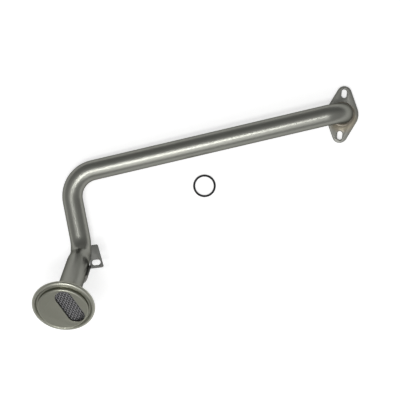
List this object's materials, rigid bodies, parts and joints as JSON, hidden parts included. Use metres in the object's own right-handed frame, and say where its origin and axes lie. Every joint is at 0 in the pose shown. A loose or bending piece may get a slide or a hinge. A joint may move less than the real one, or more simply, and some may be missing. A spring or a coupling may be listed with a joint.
{
  "type": "oil pickup tube",
  "caption": "Bent steel oil pickup tube with a slotted two-bolt flange, a round slotted strainer, a support bracket and a loose sealing ring.",
  "frame": {"origin": "centre of the flange's mating face, midway between the bolt slots", "axes": "+Z away from the pump, up as the part lies on a surface; +Y along the line of the two bolt slots"},
  "size_m": [0.287, 0.266, 0.0985],
  "materials": {
    "tube_steel": "satin",
    "plate_steel": "satin",
    "sheet_steel": "satin",
    "weld_steel": "satin",
    "screen_wire": "satin",
    "braze": "matte",
    "rubber": "matte"
  },
  "bodies": {
    "root": {"pickup_tube": "tube_steel", "mounting_flange": "plate_steel", "flange_braze": "braze", "strainer_housing": "sheet_steel", "neck_braze": "braze", "strainer_screen": "screen_wire", "strainer_cover": "sheet_steel", "support_bracket": "plate_steel", "bracket_weld_upper": "weld_steel", "bracket_weld_lower": "weld_steel", "o_ring": "rubber"}
  },
  "joints": []
}
